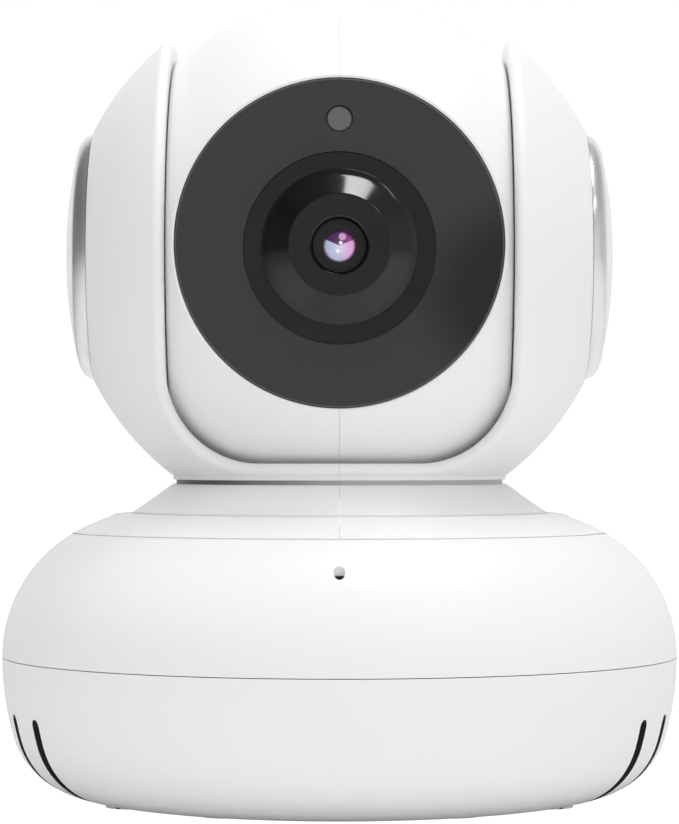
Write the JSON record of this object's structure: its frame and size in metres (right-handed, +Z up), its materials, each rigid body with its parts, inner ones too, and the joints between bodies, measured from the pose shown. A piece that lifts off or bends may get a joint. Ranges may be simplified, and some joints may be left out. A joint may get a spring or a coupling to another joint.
{
  "type": "baby monitor camera",
  "caption": "Desk-top baby monitor camera: a pebble-shaped base carries a turning yoke, and a ball-shaped head with a lens in a round dark window tilts in it.",
  "frame": {"origin": "on the floor under the rubber feet, on the pan axis", "axes": "+Z up along the pan axis, the lens looks along -Y at rest, +X is on the right seen from the front"},
  "size_m": [0.11, 0.11, 0.1295],
  "materials": {
    "white_plastic": "smooth glossy ABS",
    "cap_grey": "satin silver-grey ABS",
    "window_black": "polished smoked acrylic",
    "bezel_black": "semi-gloss black ABS",
    "lens_black": "black anodised",
    "lens_glass": "coated glass",
    "rubber": "matt rubber",
    "brass": "turned",
    "steel": "zinc-plated",
    "circuit_board": "solder-masked glass epoxy",
    "nylon": "natural acetal",
    "black_plastic": "moulded",
    "blue_plastic": "moulded",
    "paper_cone": "pressed paper",
    "magnet": "sintered, plated",
    "clear_plastic": "clear epoxy",
    "chip": "moulded epoxy",
    "copper": "enamelled copper",
    "key_grey": "moulded"
  },
  "bodies": {
    "base": {"base_lower_shell": "white_plastic", "base_upper_shell": "white_plastic", "rubber_feet": "rubber", "tripod_insert": "brass", "base_screws": "steel", "base_board": "circuit_board", "base_board_screws": "steel", "power_socket": "steel", "card_socket": "steel", "reset_switch": "black_plastic", "speaker_frame": "black_plastic", "speaker_magnet": "magnet", "speaker_cone": "paper_cone", "microphone_boot": "rubber", "microphone_capsule": "steel", "pan_motor_can": "steel", "pan_motor_lead_cover": "blue_plastic", "pan_motor_screws": "steel", "pan_bush": "nylon"},
    "pan_drive": {"pan_motor_shaft": "brass", "pan_pinion": "nylon"},
    "reset_key": {"reset_button": "key_grey"},
    "yoke": {"yoke_left_shell": "white_plastic", "yoke_right_shell": "white_plastic", "right_side_cap": "cap_grey", "left_side_cap": "cap_grey", "pan_gear": "nylon", "pan_gear_screws": "steel", "pan_retainer": "steel", "pan_retainer_screws": "steel", "tilt_drive_hub": "nylon", "drive_hub_screws": "steel", "tilt_shaft": "brass", "tilt_bush": "nylon"},
    "head": {"head_left_shell": "white_plastic", "head_right_shell": "white_plastic", "head_screws": "steel", "front_window": "window_black", "sensor_window": "clear_plastic", "light_sensor": "chip", "lens_bezel": "bezel_black", "lens_barrel": "lens_black", "front_lens": "lens_glass", "rear_lens": "lens_glass", "ir_led_board": "circuit_board", "ir_leds": "clear_plastic", "lens_holder": "black_plastic", "filter_coil": "copper", "image_sensor": "chip", "sensor_board": "circuit_board", "board_spacers": "brass", "main_board": "circuit_board", "main_chip": "chip", "board_screws": "steel", "tilt_motor_can": "steel", "tilt_motor_lead_cover": "blue_plastic", "tilt_motor_screws": "steel", "tilt_retaining_ring": "steel"},
    "filter_slide": {"filter_frame": "black_plastic", "filter_glasses": "lens_glass"}
  },
  "joints": [
    {"name": "pan", "type": "hinge", "parent": "base", "child": "yoke", "pos_m": [0, 0, 0.0411], "axis": [0, 0, 1], "range_deg": [-175, 175]},
    {"name": "tilt", "type": "hinge", "parent": "yoke", "child": "head", "pos_m": [0, 0, 0.088], "axis": [-1, 0, 0], "range_deg": [-20, 90]},
    {"name": "pan_pinion_spin", "type": "hinge", "parent": "base", "child": "pan_drive", "pos_m": [0, -0.0288, 0.0379], "axis": [0, 0, 1], "range_deg": [-880, 880]},
    {"name": "filter_shift", "type": "slide", "parent": "head", "child": "filter_slide", "axis": [-1, 0, 0], "range_m": [0, 0.0072]},
    {"name": "reset_press", "type": "slide", "parent": "base", "child": "reset_key", "axis": [0, -1, 0], "range_m": [0, 0.0005], "stiffness_N_per_m": 400}
  ],
  "couplings": [
    {"joint": "pan_pinion_spin", "follows": "pan", "ratio": -5}
  ]
}
